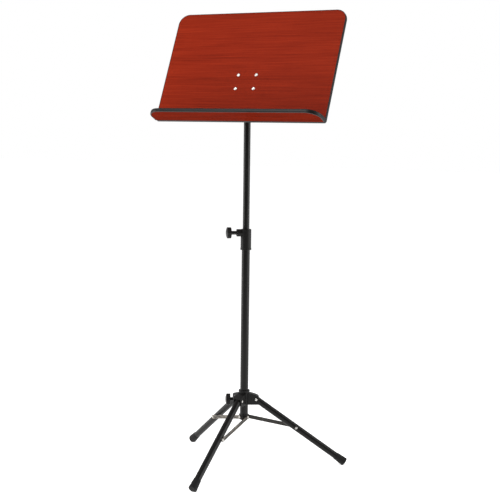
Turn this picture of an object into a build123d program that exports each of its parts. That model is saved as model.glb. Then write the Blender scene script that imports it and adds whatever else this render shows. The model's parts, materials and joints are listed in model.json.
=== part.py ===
"""Orchestra music stand: a wooden desk with a lip, on a two-stage mast and a folding tripod.

The mast's axis is the Z axis and the floor is z = 0. The desk faces -Y and the reader's right
hand is +X. Millimetres and degrees throughout.
"""
from build123d import *
from math import acos, atan2, cos, degrees, hypot, radians, sin
import os

os.makedirs("parts", exist_ok=True)

# Gaps and fits
GAP = 0.3              # between faces of pieces that move past each other
RUNNING = 0.05         # radial clearance of a shaft that turns or slides in a bore

# Desk, shelf and their black edge moulding
DESK_WIDTH = 500.0
DESK_HEIGHT = 320.0
BOARD = 9.0            # thickness of both boards
DESK_LEAN = 24.5       # from vertical, top away from the reader
TOP_CORNER = 30.0
BOTTOM_CORNER = 6.0
SHELF_DEPTH = 57.0
SHELF_CORNER = 38.0
MOULDING = 1.6         # how far the edge moulding stands outside the board
LIP = 0.4              # how far its lips stand above the board's faces
LIP_REACH = 3.6        # how far the lips reach in from the outside
TONGUE_REACH = 5.0     # how far the tongue reaches in from the outside
TONGUE = 1.4           # thickness of the tongue in its groove
EDGE_ROUND = 1.4

# Fasteners of the desk
RIVET_ROW_HEIGHT = 113.3   # middle of the four rivets, up the desk from its lower edge
RIVET_SPACING_X = 53.0
RIVET_SPACING_Y = 40.0
RIVET_HEAD_RADIUS = 4.7
RIVET_HEAD_HEIGHT = 1.9
RIVET_RADIUS = 2.1
RIVET_TAIL_RADIUS = 3.8
SHELF_SCREW_PLACES = (-190.0, -65.0, 65.0, 190.0)
SHELF_SCREW_RADIUS = 1.8
SHELF_SCREW_LENGTH = 31.0
SHELF_SCREW_HEAD = 3.6

# Bracket behind the desk and the tilting head in the mast's top
TILT_HEIGHT = 992.3       # tilt axis above the floor
TILT_UP_DESK = 78.0        # tilt axis, up the desk from its lower edge
TILT_BEHIND_FACE = 28.0    # tilt axis, behind the desk's face
SHEET = 2.0                # thickness of the bracket's steel
PLATE_WIDTH = 78.0
PLATE_HEIGHT = 78.0
PLATE_CENTRE = 105.0      # up the desk from its lower edge
EAR_RADIUS = 10.0
HEAD_WIDTH = 16.0
HEAD_RADIUS = 9.0
WASHER = 1.5
WASHER_RADIUS = 8.5
TILT_BOLT_RADIUS = 3.0
HEAD_DROP = 28.0           # from the tilt axis down to the end of the upper tube
SPIGOT_LENGTH = 30.0

# Mast
UPPER_RADIUS = 9.0
UPPER_WALL = 1.2
UPPER_BOTTOM = 470.0
LOWER_RADIUS = 11.0
LOWER_WALL = 1.3
LOWER_BOTTOM = 142.0
LOWER_TOP = 624.0

# Clamp collar at the top of the lower tube
COLLAR_RADIUS = 14.25
COLLAR_BOTTOM = 591.0
COLLAR_TOP = 646.7
COLLAR_LIP = 2.0
CLAMP_BOSS_RADIUS = 10.0
CLAMP_BOSS_REACH = 25.6
CLAMP_ANGLE = 217.0
CLAMP_KNOB_REACH = 40.4     # back of the knob's head, from the mast's axis

# Knobs, all one moulding, and the M6 screws moulded into them
KNOB_RADIUS = 15.0
KNOB_THICKNESS = 11.4
KNOB_CROWN = 2.6           # height of the domed face
KNOB_CROWN_RADIUS = 13.2
KNOB_STEM_RADIUS = 5.1
KNOB_RIBS = 24
KNOB_RIB_RADIUS = 1.15
SCREW_RADIUS = 3.0
SCREW_HEAD = 4.0
NUT_FLATS = 10.0
NUT_THICKNESS = 5.0

# Hub that slides on the lower tube and holds the legs
LEG_ANGLES = (30.0, 150.0, 270.0)
PIVOT_RADIUS = 32.0
PIVOT_HEIGHT = 184.0
NECK_RADIUS = 14.3
NECK_TOP = 209.5
NECK_RIM_RADIUS = 15.3
NECK_RIM = 3.2             # height of the rim round the neck's top
HUB_BOTTOM = 169.5
ARM_REACH = 40.0           # outer end of an arm, from the mast's axis
ARM_TOP_INNER = 17.5       # arm's top edge above the pivot, beside the neck
ARM_TOP_PIVOT = 12.2       # and over the pivot
ARM_TOP_OUTER = 8.8        # and at its outer end
ARM_BOTTOM = -14.0
SLOT_HALF = 9.4
CHEEK_HALF = 12.0
SLOT_FLOOR = 22.0          # from the mast's axis
LEG_CLEARANCE = 0.45       # between a leg and the arm's roof
HUB_BOSS_RADIUS = 8.0
HUB_BOSS_REACH = 29.0
HUB_KNOB_ANGLE = 210.0
HUB_KNOB_HEIGHT = 183.5
HUB_KNOB_REACH = 37.2       # back of the knob's head, from the mast's axis
PIVOT_PIN_RADIUS = 2.5
PIN_HEAD_RADIUS = 3.4
PIN_HEAD_HEIGHT = 1.5

# Legs and feet
LEG_RADIUS = 9.0
LEG_WALL = 1.2
LEG_END_ROUND = 9.3        # radius about the pivot to which a leg's inner end is rounded
FOOT_CIRCLE = 275.0        # lower end of a leg's axis, from the mast's axis
FOOT_HEIGHT = 9.4          # and above the floor
FOOT_RADIUS = 11.6         # at the foot's flat end
FOOT_SLEEVE = 9.9          # and at its rim
FOOT_LENGTH = 31.0
FOOT_END = 3.0             # from the leg's lower end to the foot's flat end
FOOT_ROUND = 2.0
FOOT_SOLID = 7.0           # from the bore's bottom to the leg's lower end

# Braces between the foot of the mast and the legs
BRACE_WIDTH = 10.0
BRACE_THICKNESS = 2.2
BRACE_OFFSET = LOWER_RADIUS + GAP    # inner face, from the leg's own plane
BRACE_INNER_RADIUS = 1.5
BRACE_INNER_HEIGHT = 135.0
BRACE_UP_LEG = 136.0       # brace's rivet, along the leg from its pivot
BRACE_PIN_RADIUS = 2.0
RIB_WIDTH = 3.6
RIB_DEPTH = 0.8
PLUG_BOTTOM = 127.5
PLUG_TOP = 165.0
PLUG_RADIUS = 13.6

# Worked out from the dimensions above
LEG_SLOPE = degrees(atan2(PIVOT_HEIGHT - FOOT_HEIGHT, FOOT_CIRCLE - PIVOT_RADIUS))
LEG_LENGTH = hypot(PIVOT_HEIGHT - FOOT_HEIGHT, FOOT_CIRCLE - PIVOT_RADIUS)
BRACE_OUTER_RADIUS = PIVOT_RADIUS + BRACE_UP_LEG * cos(radians(LEG_SLOPE))
BRACE_OUTER_HEIGHT = PIVOT_HEIGHT - BRACE_UP_LEG * sin(radians(LEG_SLOPE))
BRACE_RUN = BRACE_OUTER_RADIUS - BRACE_INNER_RADIUS
BRACE_DROP = BRACE_INNER_HEIGHT - BRACE_OUTER_HEIGHT
BRACE_LENGTH = hypot(BRACE_RUN, BRACE_DROP)
BRACE_SLOPE = degrees(atan2(BRACE_DROP, BRACE_RUN))
FOLDED_BRACE = degrees(acos((PIVOT_RADIUS - BRACE_INNER_RADIUS) / BRACE_LENGTH))
UPPER_TOP = TILT_HEIGHT - HEAD_DROP
COLLAR_SCREW_HEIGHT = COLLAR_TOP - CLAMP_BOSS_RADIUS
EAR_INNER = HEAD_WIDTH / 2 + WASHER + GAP
EAR_OUTER = EAR_INNER + SHEET


# Frames in which the sub-parts are drawn

lean = radians(DESK_LEAN)
up_desk = Vector(0, sin(lean), cos(lean))
out_of_desk = Vector(0, -cos(lean), sin(lean))
tilt_axis_point = Vector(0, 0, TILT_HEIGHT)
desk_origin = tilt_axis_point - up_desk * TILT_UP_DESK + out_of_desk * TILT_BEHIND_FACE

# Desk frame: X across, Y up the desk, Z out of its face; origin mid lower edge, on the face.
desk_frame = Plane(origin=desk_origin, x_dir=(1, 0, 0), z_dir=out_of_desk).location
# Shelf frame, inside the desk frame: X across, Y out of the face, Z down the desk.
shelf_frame = Plane(origin=(0, LIP, 0), x_dir=(1, 0, 0), z_dir=(0, -1, 0)).location


def toward(angle):
    """Frame whose X points level from the mast's axis in the given direction."""
    return Rot(0, 0, angle)


# A leg and its brace are drawn in the XZ plane and then turned to their place round the mast.
# Leg frame: origin at the leg's pivot, X down the leg, Y along the pivot pin.
leg_frame = Pos(PIVOT_RADIUS, 0, PIVOT_HEIGHT) * Rot(0, LEG_SLOPE, 0)
# Brace frame: origin at the brace's inner pivot, X along the brace, Y along its pins.
brace_frame = Pos(BRACE_INNER_RADIUS, 0, BRACE_INNER_HEIGHT) * Rot(0, BRACE_SLOPE, 0)


# Common shapes

def rod_x(radius, start, end):
    """Round bar along X."""
    return Pos((start + end) / 2, 0, 0) * Rot(0, 90, 0) * Cylinder(radius, end - start)


def rod_y(radius, start, end):
    """Round bar along Y."""
    return Pos(0, (start + end) / 2, 0) * Rot(90, 0, 0) * Cylinder(radius, end - start)


def rod_z(radius, start, end):
    """Round bar along Z."""
    return Pos(0, 0, (start + end) / 2) * Cylinder(radius, end - start)


def hexagon_x(flats, start, end):
    """Hexagonal bar along X."""
    section = RegularPolygon(flats / 2, 6, major_radius=False)
    return Pos(start, 0, 0) * Rot(0, 90, 0) * extrude(section, end - start)


def dome(radius, height):
    """Low round head standing on the XY plane."""
    ball = (radius**2 + height**2) / (2 * height)
    return split(Pos(0, 0, height - ball) * Sphere(ball), bisect_by=Plane.XY, keep=Keep.TOP)


def dome_x(radius, height, at):
    """Round head along +X, its flat side at the given place."""
    return Pos(at, 0, 0) * Rot(0, 90, 0) * dome(radius, height)


def dome_y(radius, height, at, facing=1):
    """Round head along Y, its flat side at the given place."""
    return Pos(0, at, 0) * Rot(-90 * facing, 0, 0) * dome(radius, height)


# Desk and shelf

def desk_outline(inset):
    """Desk outline, drawn in by inset all round."""
    sheet = Rectangle(DESK_WIDTH - 2 * inset, DESK_HEIGHT - 2 * inset)
    corners = sheet.vertices().group_by(Axis.Y)
    sheet = fillet(corners[-1], TOP_CORNER - inset)
    corners = sheet.vertices().group_by(Axis.Y)
    sheet = fillet(corners[0], BOTTOM_CORNER - inset)
    return Pos(0, DESK_HEIGHT / 2) * sheet


def shelf_outline(inset):
    """Shelf outline, drawn in by inset except where it meets the desk."""
    depth = SHELF_DEPTH - inset
    sheet = Rectangle(DESK_WIDTH - 2 * inset, depth)
    corners = sheet.vertices().group_by(Axis.Y)
    return Pos(0, depth / 2) * fillet(corners[-1], SHELF_CORNER - inset)


def grooved_board(outline):
    """Board from z = 0 down, with the groove for the moulding's tongue round its edge."""
    board = extrude(outline(MOULDING), -BOARD)
    tongue = extrude(outline(0) - outline(TONGUE_REACH), TONGUE)
    return board - Pos(0, 0, -(BOARD + TONGUE) / 2) * tongue


def edge_moulding(outline):
    """Rounded moulding that wraps the board's edge, with two lips and a tongue."""
    block = Pos(0, 0, LIP) * extrude(outline(0), -(BOARD + 2 * LIP))
    faces = block.faces().filter_by(Axis.Z)
    edges = faces[0].edges() + faces[1].edges()
    rounded = [edge for edge in edges if edge.center().Y > EDGE_ROUND or outline is desk_outline]
    block = fillet(rounded, EDGE_ROUND)
    window = Pos(0, 0, LIP) * extrude(outline(LIP_REACH), -(BOARD + 2 * LIP))
    board_space = extrude(outline(MOULDING), -BOARD)
    tongue = extrude(outline(MOULDING) - outline(TONGUE_REACH), TONGUE)
    return block - window - board_space + Pos(0, 0, -(BOARD + TONGUE) / 2) * tongue


def shelf_screws():
    """Countersunk wood screws through the desk into the back edge of the shelf."""
    height = LIP + BOARD / 2
    head = Pos(0, 0, -BOARD) * Cone(SHELF_SCREW_HEAD, SHELF_SCREW_RADIUS, 2.4,
                                    align=(Align.CENTER, Align.CENTER, Align.MIN))
    screw = head + rod_z(SHELF_SCREW_RADIUS, -BOARD + 1, SHELF_SCREW_LENGTH - BOARD)
    return [Pos(place, height, 0) * screw for place in SHELF_SCREW_PLACES]


def rivet_places():
    """Frames of the four rivets that hold the bracket, on the desk's face."""
    grid = GridLocations(RIVET_SPACING_X, RIVET_SPACING_Y, 2, 2)
    return [Pos(0, RIVET_ROW_HEIGHT, 0) * place for place in grid]


def desk_rivets():
    """Domed rivets through the desk and the bracket, spread behind the bracket."""
    back = -BOARD - SHEET
    rivet = dome(RIVET_HEAD_RADIUS, RIVET_HEAD_HEIGHT) + rod_z(RIVET_RADIUS, back, 0)
    rivet += rod_z(RIVET_TAIL_RADIUS, back - 1.4, back)
    return [place * rivet for place in rivet_places()]


def desk_bracket():
    """Steel plate behind the desk with two ears for the tilt bolt."""
    front = -BOARD
    plate = extrude(RectangleRounded(PLATE_WIDTH, PLATE_HEIGHT, 6), -SHEET)
    plate = Pos(0, PLATE_CENTRE, front) * plate
    root = Pos(PLATE_CENTRE - 10, front - SHEET / 2) * Rectangle(50, SHEET)
    eye = Pos(TILT_UP_DESK, -TILT_BEHIND_FACE) * Circle(EAR_RADIUS)
    profile = make_hull(root.edges() + eye.edges())
    ear_plane = Plane(origin=(0, 0, 0), x_dir=(0, 1, 0), z_dir=(1, 0, 0)).location
    ear = ear_plane * extrude(profile, SHEET)
    bracket = plate + Pos(EAR_INNER, 0, 0) * ear + Pos(-EAR_OUTER, 0, 0) * ear
    bolt_hole = Pos(0, TILT_UP_DESK, -TILT_BEHIND_FACE) * rod_x(TILT_BOLT_RADIUS, -20, 20)
    return bracket - bolt_hole


def tilt_bolt():
    """Round-headed bolt through the bracket's ears."""
    head = Rot(0, 0, 180) * dome_x(7.0, 3.2, EAR_OUTER)
    return head + rod_x(TILT_BOLT_RADIUS, -EAR_OUTER, EAR_OUTER + 16)


# Knobs

def knob_blank(stem):
    """Ribbed knob along X: a stem from x = 0, then the round head with a domed face."""
    end = stem + KNOB_THICKNESS
    head = rod_x(KNOB_RADIUS, stem, end)
    head = chamfer(head.edges().filter_by(GeomType.CIRCLE), 1.2)
    head += dome_x(KNOB_CROWN_RADIUS, KNOB_CROWN, end)
    rib = rod_x(KNOB_RIB_RADIUS, stem - 1, end + 1)
    turn = 360 / KNOB_RIBS
    for number in range(KNOB_RIBS):
        head -= Rot(number * turn, 0, 0) * Pos(0, 0, KNOB_RADIUS + 0.35) * rib
    return head + rod_x(KNOB_STEM_RADIUS, 0, stem + 1)


def knob_screw(tip, stem_end):
    """Screw along X with its hexagonal head sunk in the knob."""
    head_start = stem_end + 4
    shank = chamfer(rod_x(SCREW_RADIUS, tip, head_start).edges().sort_by(Axis.X)[0], 0.6)
    return shank + hexagon_x(NUT_FLATS, head_start, head_start + SCREW_HEAD)


def captive_nut(reach):
    """Hexagonal nut let into the end of a boss."""
    nut = hexagon_x(NUT_FLATS, reach - NUT_THICKNESS, reach)
    return nut - rod_x(SCREW_RADIUS + RUNNING, 0, reach + 1)


def tilt_knob_pieces():
    """Knob of the tilt bolt and the threaded insert moulded into it."""
    stem = 6.0
    start = EAR_OUTER + GAP
    insert = hexagon_x(NUT_FLATS, 0, stem + 5) - rod_x(SCREW_RADIUS + RUNNING, -1, stem + 6)
    knob = knob_blank(stem) + rod_x(7.5, 0, stem + 1)
    knob -= hexagon_x(NUT_FLATS, 0, stem + 5) + rod_x(SCREW_RADIUS + GAP, 0, 16 + GAP)
    place = Pos(start, 0, TILT_HEIGHT)
    return place * knob, place * insert


# Mast

def tilt_head():
    """Casting in the top of the upper tube: spigot, shoulder, flattened neck and eye."""
    eye = rod_x(HEAD_RADIUS, -HEAD_WIDTH / 2, HEAD_WIDTH / 2)
    neck = rod_z(UPPER_RADIUS, -HEAD_DROP + 4, 0) & Box(HEAD_WIDTH, 40, 80)
    shoulder = rod_z(UPPER_RADIUS, -HEAD_DROP, -HEAD_DROP + 4)
    spigot = rod_z(UPPER_RADIUS - UPPER_WALL, -HEAD_DROP - SPIGOT_LENGTH, -HEAD_DROP)
    head = eye + neck + shoulder + spigot - rod_x(TILT_BOLT_RADIUS + RUNNING, -20, 20)
    return Pos(tilt_axis_point) * head


def tilt_washers():
    """Friction washers on the two sides of the eye."""
    washer = rod_x(WASHER_RADIUS, HEAD_WIDTH / 2, HEAD_WIDTH / 2 + WASHER)
    washer -= rod_x(TILT_BOLT_RADIUS + RUNNING, 0, 20)
    return [Pos(tilt_axis_point) * Rot(0, 0, turn) * washer for turn in (0, 180)]


def head_rivet():
    """Cross rivet that holds the tilting head in the upper tube."""
    rivet = rod_x(2.0, -UPPER_RADIUS, UPPER_RADIUS)
    for turn in (0, 180):
        end = dome_x(3.2, 1.6, UPPER_RADIUS - 0.8) - rod_z(UPPER_RADIUS, -5, 5)
        rivet += Rot(0, 0, turn) * end
    return Pos(0, 0, UPPER_TOP - SPIGOT_LENGTH / 2) * rivet


def tube(radius, wall, bottom, top):
    """Upright round tube."""
    return rod_z(radius, bottom, top) - rod_z(radius - wall, bottom - 1, top + 1)


def guide_bush():
    """Plug on which the upper tube turns, guided by the lower tube's bore."""
    flange_top = UPPER_BOTTOM - GAP
    flange = rod_z(LOWER_RADIUS - LOWER_WALL - 0.08, flange_top - 5, flange_top)
    spigot = rod_z(UPPER_RADIUS - UPPER_WALL - RUNNING, flange_top, flange_top + 26)
    return flange + spigot - rod_z(4.5, flange_top - 6, flange_top + 27)


# Clamp collar

def clamp_collar():
    """Collar on the lower tube's top, with a boss for the clamp screw."""
    collar = rod_z(COLLAR_RADIUS, COLLAR_BOTTOM, COLLAR_TOP)
    top_edge = collar.edges().filter_by(GeomType.CIRCLE).sort_by(Axis.Z)[-1]
    collar = fillet([top_edge], 1.2)
    skirt = rod_z(COLLAR_RADIUS + 0.6, COLLAR_BOTTOM, COLLAR_BOTTOM + 5)
    collar += fillet(skirt.edges().filter_by(GeomType.CIRCLE), 0.5)
    level = toward(CLAMP_ANGLE) * Pos(0, 0, COLLAR_SCREW_HEIGHT)
    boss = rod_x(CLAMP_BOSS_RADIUS, 0, CLAMP_BOSS_REACH)
    boss = fillet([boss.edges().filter_by(GeomType.CIRCLE).sort_by(Axis.X)[-1]], 1.0)
    collar += level * boss
    collar -= rod_z(LOWER_RADIUS, COLLAR_BOTTOM - 1, COLLAR_TOP - COLLAR_LIP)
    collar -= rod_z(UPPER_RADIUS + 0.5, COLLAR_BOTTOM, COLLAR_TOP + 5)
    nut_space = hexagon_x(NUT_FLATS, CLAMP_BOSS_REACH - NUT_THICKNESS, CLAMP_BOSS_REACH + 1)
    return collar - level * (nut_space + rod_x(SCREW_RADIUS + GAP, 0, CLAMP_BOSS_REACH))


def clamp_bush():
    """Split-free plastic ring that guides the upper tube inside the collar."""
    ring = tube(LOWER_RADIUS, LOWER_RADIUS - UPPER_RADIUS - RUNNING, LOWER_TOP,
                COLLAR_TOP - COLLAR_LIP)
    level = toward(CLAMP_ANGLE) * Pos(0, 0, COLLAR_SCREW_HEIGHT)
    return ring - level * rod_x(SCREW_RADIUS + GAP, 0, 20)


def clamp_pieces():
    """Nut, screw and knob of the height clamp."""
    level = toward(CLAMP_ANGLE) * Pos(0, 0, COLLAR_SCREW_HEIGHT)
    start = CLAMP_BOSS_REACH + GAP
    stem = CLAMP_KNOB_REACH - start
    screw = knob_screw(UPPER_RADIUS + GAP, start + stem)
    knob = Pos(start, 0, 0) * knob_blank(stem) - screw
    return level * captive_nut(CLAMP_BOSS_REACH), level * screw, level * knob


# Hub

def hub_arm():
    """One arm of the hub along X, before its slot is cut: a plate with a falling, arched top."""
    with BuildSketch() as profile:
        with BuildLine():
            Polyline((10, ARM_TOP_INNER), (10, ARM_BOTTOM), (ARM_REACH, ARM_BOTTOM),
                     (ARM_REACH, ARM_TOP_OUTER))
            ThreePointArc((ARM_REACH, ARM_TOP_OUTER), (PIVOT_RADIUS, ARM_TOP_PIVOT),
                          (NECK_RADIUS, ARM_TOP_INNER))
            Line((NECK_RADIUS, ARM_TOP_INNER), (10, ARM_TOP_INNER))
        make_face()
        fillet(profile.vertices().group_by(Axis.X)[-1], 2.0)
    upright = Plane(origin=(0, CHEEK_HALF, PIVOT_HEIGHT), x_dir=(1, 0, 0), z_dir=(0, -1, 0))
    arm = upright.location * extrude(profile.sketch, 2 * CHEEK_HALF)
    sides = arm.faces().sort_by(Axis.Y)
    outer_edges = [edge for side in (sides[0], sides[-1]) for edge in side.edges()
                   if edge.center().X > NECK_RADIUS]
    return fillet(outer_edges, 0.8)


def leg_slot():
    """Space that a leg sweeps in its arm, from standing to folded."""
    roof = LEG_RADIUS + LEG_CLEARANCE
    standing = leg_frame * Pos(30, 0, roof / 2 - 5) * Box(60, 2 * SLOT_HALF, roof + 10)
    folding = Pos((SLOT_FLOOR + 60) / 2, 0, PIVOT_HEIGHT - 15)
    folding *= Box(60 - SLOT_FLOOR, 2 * SLOT_HALF, 30)
    round_end = leg_frame * rod_y(LEG_END_ROUND + LEG_CLEARANCE, -SLOT_HALF, SLOT_HALF)
    return standing + folding + round_end


def hub():
    """Moulded hub: neck, three clevises and a boss for the lock screw."""
    body = rod_z(NECK_RADIUS, HUB_BOTTOM, NECK_TOP)
    body += rod_z(NECK_RIM_RADIUS, NECK_TOP - NECK_RIM, NECK_TOP)
    body = fillet([body.edges().filter_by(GeomType.CIRCLE).sort_by(Axis.Z)[-1]], 1.2)
    for angle in LEG_ANGLES:
        body += toward(angle) * hub_arm()
    level = toward(HUB_KNOB_ANGLE) * Pos(0, 0, HUB_KNOB_HEIGHT)
    body += level * rod_x(HUB_BOSS_RADIUS, 0, HUB_BOSS_REACH)
    slot = leg_slot()
    pin = Pos(PIVOT_RADIUS, 0, PIVOT_HEIGHT) * rod_y(PIVOT_PIN_RADIUS, -20, 20)
    for angle in LEG_ANGLES:
        body -= toward(angle) * (slot + pin)
    body -= rod_z(LOWER_RADIUS + RUNNING, HUB_BOTTOM - 1, NECK_TOP + 1)
    nut_space = hexagon_x(NUT_FLATS, HUB_BOSS_REACH - NUT_THICKNESS, HUB_BOSS_REACH + 1)
    return body - level * (nut_space + rod_x(SCREW_RADIUS + GAP, 0, HUB_BOSS_REACH))


def leg_pivot_rivets():
    """Rivets on which the three legs turn, with a domed head on each side."""
    rivet = rod_y(PIVOT_PIN_RADIUS, -CHEEK_HALF, CHEEK_HALF)
    for side in (1, -1):
        rivet += dome_y(PIN_HEAD_RADIUS, PIN_HEAD_HEIGHT, side * CHEEK_HALF, side)
    rivet = Pos(PIVOT_RADIUS, 0, PIVOT_HEIGHT) * rivet
    return [toward(angle) * rivet for angle in LEG_ANGLES]


def hub_lock_pieces():
    """Nut, screw and knob that lock the hub on the lower tube."""
    level = toward(HUB_KNOB_ANGLE) * Pos(0, 0, HUB_KNOB_HEIGHT)
    start = HUB_BOSS_REACH + GAP
    stem = HUB_KNOB_REACH - start
    screw = knob_screw(LOWER_RADIUS + GAP, start + stem)
    knob = Pos(start, 0, 0) * knob_blank(stem) - screw
    return level * captive_nut(HUB_BOSS_REACH), level * screw, level * knob


# Foot of the mast

def mast_plug():
    """Plug in the lower tube's end, with three flats that carry the braces."""
    block = rod_z(PLUG_RADIUS, PLUG_BOTTOM, LOWER_BOTTOM)
    for angle in LEG_ANGLES:
        beyond_flat = Pos(0, LOWER_RADIUS + 10, (PLUG_BOTTOM + LOWER_BOTTOM) / 2)
        block -= toward(angle) * beyond_flat * Box(60, 20, 60)
    rims = block.faces().sort_by(Axis.Z)[0].edges()
    block = chamfer(rims, 1.0)
    block += rod_z(LOWER_RADIUS - LOWER_WALL, LOWER_BOTTOM, PLUG_TOP)
    for angle in LEG_ANGLES:
        pin_hole = Pos(BRACE_INNER_RADIUS, 0, BRACE_INNER_HEIGHT) * rod_y(BRACE_PIN_RADIUS, 5, 20)
        block -= toward(angle) * pin_hole
    return block


def brace_inner_pins():
    """Rivets in the plug on which the braces swing."""
    face = BRACE_OFFSET + BRACE_THICKNESS + GAP
    pin = rod_y(BRACE_PIN_RADIUS, 5, face) + dome_y(PIN_HEAD_RADIUS, PIN_HEAD_HEIGHT, face)
    pin = Pos(BRACE_INNER_RADIUS, 0, BRACE_INNER_HEIGHT) * pin
    return [toward(angle) * pin for angle in LEG_ANGLES]


# Legs

def leg_tube():
    """One leg, with holes for its pivot and for the brace's rivet."""
    leg = rod_x(LEG_RADIUS, 0, LEG_LENGTH - FOOT_SOLID)
    leg += rod_x(LEG_RADIUS, -LEG_END_ROUND, 0) & rod_y(LEG_END_ROUND, -20, 20)
    leg -= rod_x(LEG_RADIUS - LEG_WALL, -20, LEG_LENGTH)
    leg -= rod_y(PIVOT_PIN_RADIUS + RUNNING, -20, 20)
    leg -= Pos(BRACE_UP_LEG, 0, 0) * rod_y(BRACE_PIN_RADIUS, -20, 20)
    return leg_frame * leg


def foot():
    """Flared rubber foot with a flat end, worn flat where its edge stands on the floor."""
    end = LEG_LENGTH + FOOT_END
    boot = Pos(end - FOOT_LENGTH, 0, 0) * Rot(0, 90, 0)
    boot *= Cone(FOOT_SLEEVE, FOOT_RADIUS, FOOT_LENGTH,
                 align=(Align.CENTER, Align.CENTER, Align.MIN))
    boot = fillet([boot.edges().filter_by(GeomType.CIRCLE).sort_by(Axis.X)[-1]], FOOT_ROUND)
    boot -= rod_x(LEG_RADIUS, 0, LEG_LENGTH - FOOT_SOLID)
    return leg_frame * boot - Pos(FOOT_CIRCLE, 0, -50) * Box(100, 100, 100)


def brace_washer():
    """Saddle washer between a leg and its brace."""
    washer = rod_y(4.5, LEG_RADIUS - 1.4, LOWER_RADIUS) - rod_x(LEG_RADIUS, -9, 9)
    washer -= rod_y(BRACE_PIN_RADIUS, 0, 20)
    return leg_frame * Pos(BRACE_UP_LEG, 0, 0) * washer


def leg_rivet():
    """Rivet through a leg and its washer, up to the brace's face."""
    head = dome_y(PIN_HEAD_RADIUS + 0.3, 2.2, -LEG_RADIUS + 0.8, -1) - rod_x(LEG_RADIUS, -9, 9)
    rivet = head + rod_y(BRACE_PIN_RADIUS, -LEG_RADIUS, LOWER_RADIUS)
    return leg_frame * Pos(BRACE_UP_LEG, 0, 0) * rivet


def brace():
    """Flat brace with rounded ends and a pressed groove along its outer face."""
    bar = Pos(BRACE_LENGTH / 2, 0) * SlotCenterToCenter(BRACE_LENGTH, BRACE_WIDTH)
    bar = extrude(bar, BRACE_THICKNESS)
    groove = Pos(BRACE_LENGTH / 2, 0) * SlotCenterToCenter(BRACE_LENGTH - 26, RIB_WIDTH)
    bar -= Pos(0, 0, BRACE_THICKNESS - RIB_DEPTH) * extrude(groove, RIB_DEPTH)
    bar -= rod_z(BRACE_PIN_RADIUS + RUNNING, -1, 5)
    bar -= Pos(BRACE_LENGTH, 0, 0) * rod_z(BRACE_PIN_RADIUS, -1, 5)
    return brace_frame * Pos(0, BRACE_OFFSET, 0) * Rot(-90, 0, 0) * bar


def brace_rivet():
    """Riveted head at the outer end of a brace, fixed in the brace."""
    face = BRACE_OFFSET + BRACE_THICKNESS
    rivet = rod_y(BRACE_PIN_RADIUS, BRACE_OFFSET, face)
    rivet += dome_y(PIN_HEAD_RADIUS, PIN_HEAD_HEIGHT, face)
    return brace_frame * Pos(BRACE_LENGTH, 0, 0) * rivet


# Assembly

def cut_all(shape, tools):
    """Shape with each of the tools cut out of it."""
    for tool in tools:
        shape = shape - tool
    return shape


screws = shelf_screws()
rivets = desk_rivets()
shelf_space = Pos(0, (LIP * 2 + BOARD) / 2, LIP) * Box(DESK_WIDTH + 10, LIP * 2 + BOARD, 2 * LIP)
clamp_nut, clamp_screw, clamp_knob = clamp_pieces()
hub_nut, hub_screw, hub_knob = hub_lock_pieces()
tilt_knob, tilt_knob_insert = tilt_knob_pieces()
rivet_of_head = head_rivet()

shelf_veneer = Pos(0, 0, -BOARD - LIP) * extrude(shelf_outline(LIP_REACH), LIP)
shelf_blank = shelf_frame * (grooved_board(shelf_outline) + shelf_veneer)

nodes = {
    "desk_board": desk_frame * cut_all(grooved_board(desk_outline), screws + rivets),
    "desk_edge_trim": desk_frame * cut_all(edge_moulding(desk_outline), screws + [shelf_space]),
    "shelf_board": desk_frame * cut_all(shelf_blank, screws),
    "shelf_edge_trim": desk_frame * shelf_frame * edge_moulding(shelf_outline),
    "shelf_screws": desk_frame * Compound(children=screws),
    "desk_rivets": desk_frame * Compound(children=rivets),
    "desk_bracket": desk_frame * cut_all(desk_bracket(), rivets),
    "tilt_bolt": Pos(tilt_axis_point) * tilt_bolt(),
    "tilt_knob": tilt_knob,
    "tilt_knob_insert": tilt_knob_insert,
    "tilt_head": tilt_head() - rivet_of_head,
    "tilt_washers": Compound(children=tilt_washers()),
    "head_rivet": rivet_of_head,
    "upper_tube": tube(UPPER_RADIUS, UPPER_WALL, UPPER_BOTTOM, UPPER_TOP) - rivet_of_head,
    "guide_bush": guide_bush(),
    "lower_tube": tube(LOWER_RADIUS, LOWER_WALL, LOWER_BOTTOM, LOWER_TOP),
    "clamp_collar": clamp_collar(),
    "clamp_bush": clamp_bush(),
    "clamp_nut": clamp_nut,
    "clamp_screw": clamp_screw,
    "clamp_knob": clamp_knob,
    "hub": hub(),
    "hub_nut": hub_nut,
    "hub_screw": hub_screw,
    "hub_knob": hub_knob,
    "leg_pivot_rivets": Compound(children=leg_pivot_rivets()),
    "mast_plug": mast_plug(),
    "brace_inner_pins": Compound(children=brace_inner_pins()),
}
leg_nodes = {
    "leg_tube": leg_tube(),
    "foot": foot(),
    "brace_washer": brace_washer(),
    "leg_rivet": leg_rivet(),
    "brace": brace(),
    "brace_rivet": brace_rivet(),
}
for number, angle in enumerate(LEG_ANGLES, start=1):
    for name, shape in leg_nodes.items():
        nodes[f"{name}_{number}"] = toward(angle) * shape

for name, shape in nodes.items():
    export_step(shape, f"parts/{name}.step")

print(f"leg slope {LEG_SLOPE:.4f}, leg length {LEG_LENGTH:.3f}")
sole = nodes["foot_1"].faces().sort_by(Axis.Z)[0]
print(f"sole centre {sole.center().length:.2f} from the axis, area {sole.area:.1f}")
print(f"brace length {BRACE_LENGTH:.4f}, slope {BRACE_SLOPE:.4f}, folded {FOLDED_BRACE:.4f}")
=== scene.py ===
"""Orchestra music stand: veneered desk, black edge moulding, two-stage mast, folding tripod."""

import json
from math import cos, pi, radians, sin

import bmesh
import bpy
from mathutils import Matrix, Vector


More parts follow.
